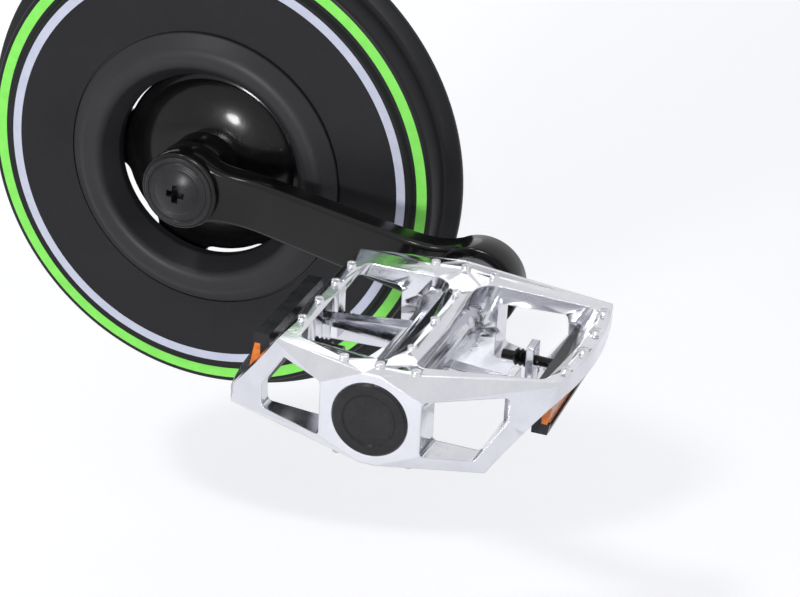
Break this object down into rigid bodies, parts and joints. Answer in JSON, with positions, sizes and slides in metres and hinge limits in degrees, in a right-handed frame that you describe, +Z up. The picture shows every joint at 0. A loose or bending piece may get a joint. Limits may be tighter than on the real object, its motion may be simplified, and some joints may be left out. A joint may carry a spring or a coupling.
{
  "type": "pedal crankset",
  "caption": "Cycle crankset with round chain guard disc, toothed ring, square-taper bottom bracket, two crank arms and cast platform pedals.",
  "frame": {"origin": "on the crank axis, at the middle of the drive-side cup's thread", "axes": "+X forward, +Y along the crank axis to the left (non-drive) side, +Z up, with the drive-side crank pointing forward and 6 degrees down"},
  "size_m": [0.3389, 0.388, 0.185],
  "materials": {
    "black_steel": "gloss black paint",
    "bare_steel": "bright turned steel",
    "cup_steel": "zinc plated steel",
    "guard_plastic": "satin charcoal plastic",
    "grey_band": "satin light grey",
    "green_band": "satin bright green",
    "cast_aluminium": "tumbled and polished casting",
    "cap_plastic": "satin black plastic",
    "amber_lens": "clear amber, prismatic",
    "bearing_steel": "ground steel"
  },
  "bodies": {
    "bottom_bracket": {"drive_side_cup": "cup_steel", "left_side_cup": "cup_steel", "cartridge_tube": "cup_steel", "drive_bearing": "bearing_steel", "left_bearing": "bearing_steel"},
    "crankset": {"spindle": "bare_steel", "drive_crank_arm": "black_steel", "left_crank_arm": "black_steel", "drive_crank_bolt": "bare_steel", "left_crank_bolt": "bare_steel", "drive_dust_cap": "cap_plastic", "left_dust_cap": "cap_plastic", "chainring": "black_steel", "chain_guard": "guard_plastic", "guard_bezel": "guard_plastic", "grey_stripe_ring": "grey_band", "green_stripe_ring": "green_band", "guard_screws": "bare_steel", "drive_pedal_axle": "bare_steel", "drive_axle_washer": "bare_steel", "left_pedal_axle": "bare_steel", "left_axle_washer": "bare_steel"},
    "drive_pedal": {"drive_pedal_body": "cast_aluminium", "drive_pedal_bushings": "bearing_steel", "drive_pedal_end_cap": "cap_plastic", "drive_reflector_housings": "cap_plastic", "drive_reflector_lenses": "amber_lens", "drive_reflector_bolts": "black_steel"},
    "left_pedal": {"left_pedal_body": "cast_aluminium", "left_pedal_bushings": "bearing_steel", "left_pedal_end_cap": "cap_plastic", "left_reflector_housings": "cap_plastic", "left_reflector_lenses": "amber_lens", "left_reflector_bolts": "black_steel"}
  },
  "joints": [
    {"name": "crank_spin", "type": "hinge", "parent": "bottom_bracket", "child": "crankset", "pos_m": [0, 0, 0], "axis": [0, 1, 0], "continuous": true},
    {"name": "drive_pedal_spin", "type": "hinge", "parent": "crankset", "child": "drive_pedal", "pos_m": [0.11367, -0.07, -0.01195], "axis": [0, 1, 0], "continuous": true},
    {"name": "left_pedal_spin", "type": "hinge", "parent": "crankset", "child": "left_pedal", "pos_m": [-0.11367, 0.122, 0.01195], "axis": [0, 1, 0], "continuous": true}
  ]
}
